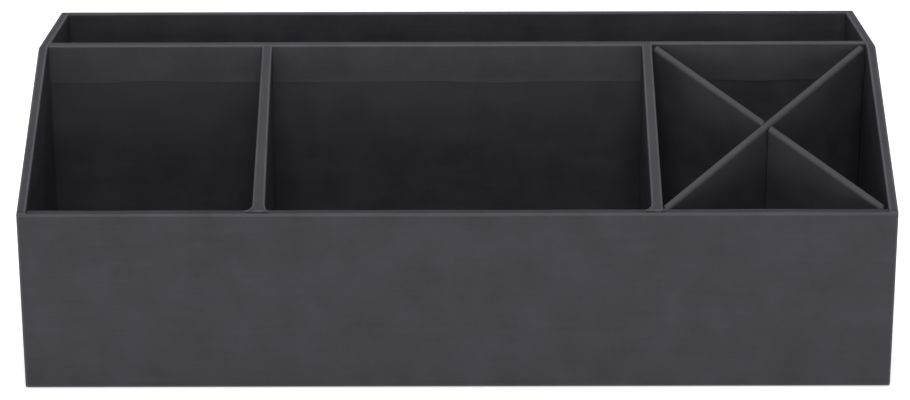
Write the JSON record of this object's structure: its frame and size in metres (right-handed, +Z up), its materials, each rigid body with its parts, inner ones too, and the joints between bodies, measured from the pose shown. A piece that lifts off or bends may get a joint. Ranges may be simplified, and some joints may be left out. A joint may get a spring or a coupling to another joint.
{
  "type": "desk organizer",
  "caption": "Low-fronted desk organiser of paper-covered board with a long rear slot, open front bays and a loose crossed pen divider.",
  "frame": {"origin": "middle of the footprint, on the surface that the box stands on", "axes": "+X to the right as seen from the low front, +Y towards the high back, +Z up"},
  "size_m": [0.33, 0.131, 0.1165],
  "materials": {
    "cover_paper": "matt charcoal fibrous covering paper, dyed through",
    "lining_paper": "matt charcoal lining paper",
    "base_paper": "matt charcoal base paper",
    "greyboard": "uncoated grey recycled board with a cut edge"
  },
  "bodies": {
    "box": {"base_board": "greyboard", "front_board": "greyboard", "rear_board": "greyboard", "left_side_board": "greyboard", "right_side_board": "greyboard", "middle_divider_board": "greyboard", "divider_facing_board": "greyboard", "left_partition_board": "greyboard", "right_partition_board": "greyboard", "front_wrap": "cover_paper", "rear_wrap": "cover_paper", "left_side_wrap": "cover_paper", "right_side_wrap": "cover_paper", "middle_divider_wrap": "cover_paper", "left_partition_wrap": "cover_paper", "right_partition_wrap": "cover_paper", "front_bay_lining": "lining_paper", "rear_slot_lining": "lining_paper", "left_front_side_lining": "lining_paper", "right_front_side_lining": "lining_paper", "left_rear_side_lining": "lining_paper", "right_rear_side_lining": "lining_paper", "base_paper": "base_paper"},
    "lower_cross_panel": {"lower_cross_panel_board": "greyboard", "lower_cross_panel_wrap": "cover_paper"},
    "upper_cross_panel": {"upper_cross_panel_board": "greyboard", "upper_cross_panel_wrap": "cover_paper"}
  },
  "joints": [
    {"name": "lower_panel_lift", "type": "slide", "parent": "box", "child": "lower_cross_panel", "axis": [0, 0, 1], "range_m": [0, 0.125]},
    {"name": "upper_panel_lift", "type": "slide", "parent": "lower_cross_panel", "child": "upper_cross_panel", "axis": [0, 0, 1], "range_m": [0, 0.125]}
  ]
}
